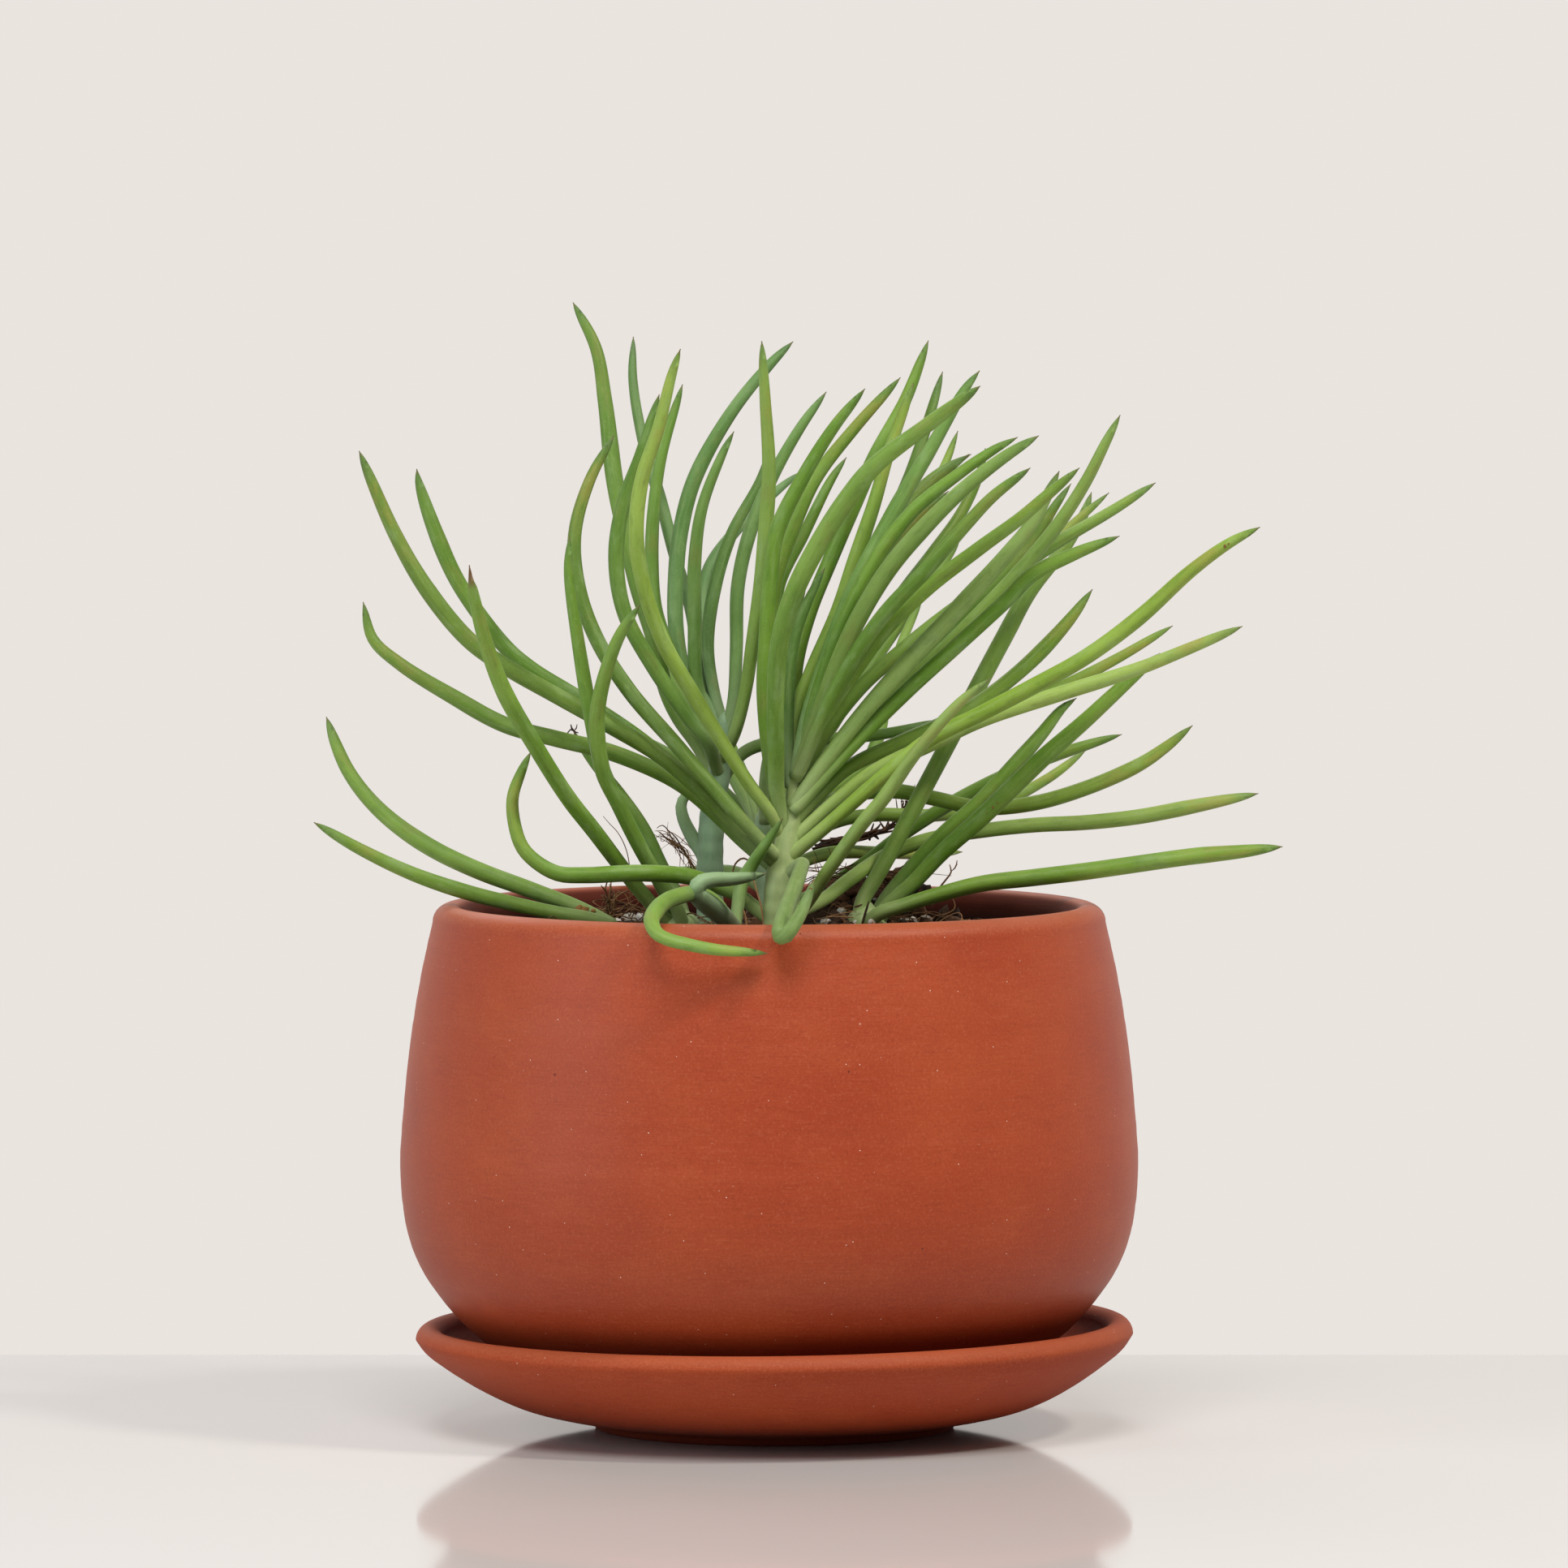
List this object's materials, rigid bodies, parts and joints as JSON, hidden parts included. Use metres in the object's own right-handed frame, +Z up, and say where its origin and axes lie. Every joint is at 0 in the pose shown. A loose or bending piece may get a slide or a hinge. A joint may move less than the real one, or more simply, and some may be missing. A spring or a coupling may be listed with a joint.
{
  "type": "potted blue chalksticks succulent",
  "caption": "Blue chalksticks, a succulent with narrow pointed fleshy leaves, growing in soil in a round-bellied terracotta pot on its saucer.",
  "frame": {"origin": "middle of the pot's axis at the level of the surface that the saucer stands on", "axes": "+Z up along the pot's axis, front of the plant as pictured faces -Y, +X to the right as seen from the front"},
  "size_m": [0.1838, 0.1457, 0.2135],
  "materials": {
    "terracotta_saucer": "bare matte fired clay with fine turning lines",
    "terracotta_pot": "bare matte fired clay with fine turning lines and pale specks",
    "soil": "rough dark potting soil with bark, fibres and white perlite grains",
    "leaves_bright": "satin waxy yellow-green to olive leaf skin with a thin pale bloom",
    "leaves_blue": "satin waxy blue-green leaf skin with a thin pale bloom"
  },
  "bodies": {
    "root": {"saucer": "terracotta_saucer", "pot": "terracotta_pot", "soil": "soil", "shoot_front": "leaves_bright", "shoot_back": "leaves_blue", "shoot_rear": "leaves_blue", "shoot_right": "leaves_bright", "shoot_left": "leaves_bright", "sprig_left": "leaves_bright", "shoot_low": "leaves_bright"}
  },
  "joints": []
}
